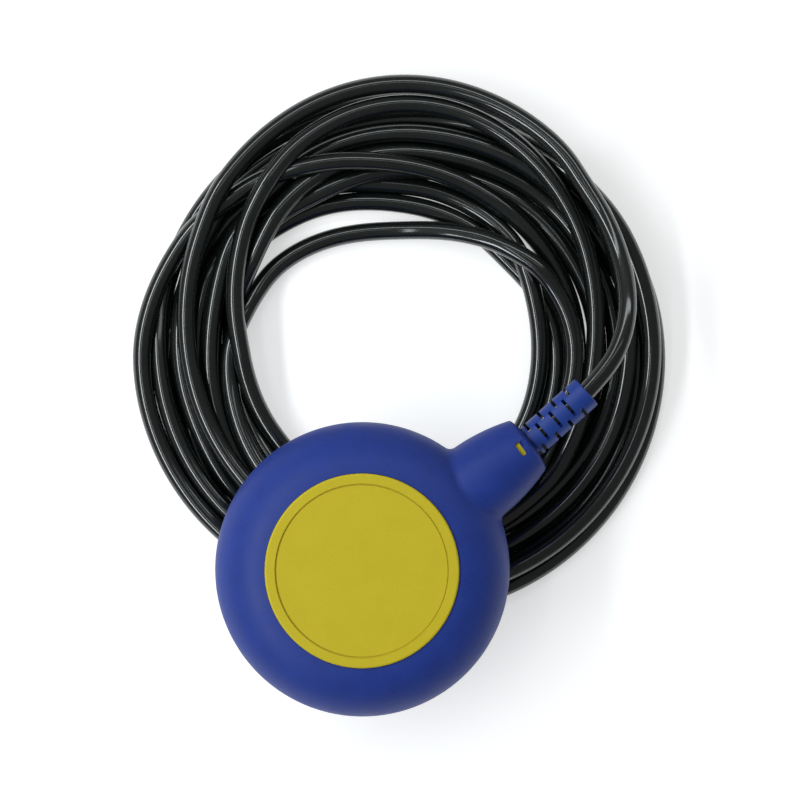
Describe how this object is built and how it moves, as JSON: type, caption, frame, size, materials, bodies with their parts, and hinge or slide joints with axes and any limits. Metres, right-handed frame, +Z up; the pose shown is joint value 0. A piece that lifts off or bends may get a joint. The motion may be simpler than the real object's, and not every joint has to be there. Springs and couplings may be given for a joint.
{
  "type": "tethered cable float switch",
  "caption": "Round flat float switch with a ball-operated microswitch inside, a slotted strain relief on a side spigot, and its cable wound in a loose coil that it lies on.",
  "frame": {"origin": "on the surface that the coil lies on, straight below the axis of the round float", "axes": "+Z up along the float's axis; +X along the spigot, the way the cable leaves the float"},
  "size_m": [0.2024, 0.1996, 0.06],
  "materials": {
    "blue_shell": "satin moulded, fine texture",
    "yellow_case": "satin moulded",
    "blue_boot": "soft moulded, satin",
    "black_sheath": "glossy extruded PVC",
    "closed_cell_foam": null,
    "seal_rubber": "matte",
    "white_nylon": "natural nylon",
    "switch_black": "moulded phenolic",
    "plunger_red": "moulded",
    "ball_steel": "ground and polished",
    "spring_steel": "rolled strip",
    "contact_brass": "stamped",
    "zinc_screw": "zinc plated",
    "sleeve_clear": "nylon sleeve",
    "core_brown": "PVC insulation",
    "core_black": "PVC insulation",
    "core_blue": "PVC insulation",
    "potting_resin": "cast resin",
    "collar_grey": "moulded",
    "tinned_copper": "tin plated"
  },
  "bodies": {
    "float": {"upper_shell": "blue_shell", "lower_shell": "blue_shell", "foam_ring": "closed_cell_foam", "upper_case": "yellow_case", "lower_case": "yellow_case", "case_seal": "seal_rubber", "ball_cage": "white_nylon", "cage_cover": "white_nylon", "lever_pin": "zinc_screw", "microswitch_base": "switch_black", "microswitch_cover": "switch_black", "nc_terminal": "contact_brass", "no_terminal": "contact_brass", "common_terminal": "contact_brass", "switch_screws": "zinc_screw", "terminal_sleeves": "sleeve_clear", "core_brown": "core_brown", "core_black": "core_black", "core_blue": "core_blue", "cable_clamp": "white_nylon", "clamp_screws": "zinc_screw", "potting": "potting_resin", "gland_seal": "seal_rubber", "gland_washer": "white_nylon", "strain_relief": "blue_boot", "cable_entry": "black_sheath", "cable_lead": "black_sheath", "cable_coil": "black_sheath", "cable_tail": "black_sheath", "tail_core_brown": "core_brown", "tail_core_black": "core_black", "tail_core_blue": "core_blue", "ferrule_collars": "collar_grey", "ferrule_pins": "tinned_copper"},
    "ball": {"steel_ball": "ball_steel"},
    "lever": {"actuating_lever": "spring_steel"},
    "plunger": {"plunger": "plunger_red"},
    "blade": {"contact_blade": "contact_brass"}
  },
  "joints": [
    {"name": "ball_roll", "type": "slide", "parent": "float", "child": "ball", "axis": [1, 0, 0], "range_m": [0, 0.024]},
    {"name": "lever_swing", "type": "hinge", "parent": "float", "child": "lever", "pos_m": [-0.013, -0.0002, 0.04], "axis": [0, 0, 1], "range_deg": [0, 6.9]},
    {"name": "plunger_press", "type": "slide", "parent": "float", "child": "plunger", "axis": [0, 1, 0], "range_m": [0, 0.00061]},
    {"name": "blade_switch", "type": "hinge", "parent": "float", "child": "blade", "pos_m": [0.004, 0.0052, 0.04], "axis": [0, 0, 1], "range_deg": [-2.88, 0]}
  ],
  "couplings": [
    {"joint": "lever_swing", "follows": "ball_roll", "rad_per_m": 5},
    {"joint": "plunger_press", "follows": "ball_roll", "ratio": 0.025},
    {"joint": "blade_switch", "follows": "ball_roll", "rad_per_m": -2.0833}
  ]
}
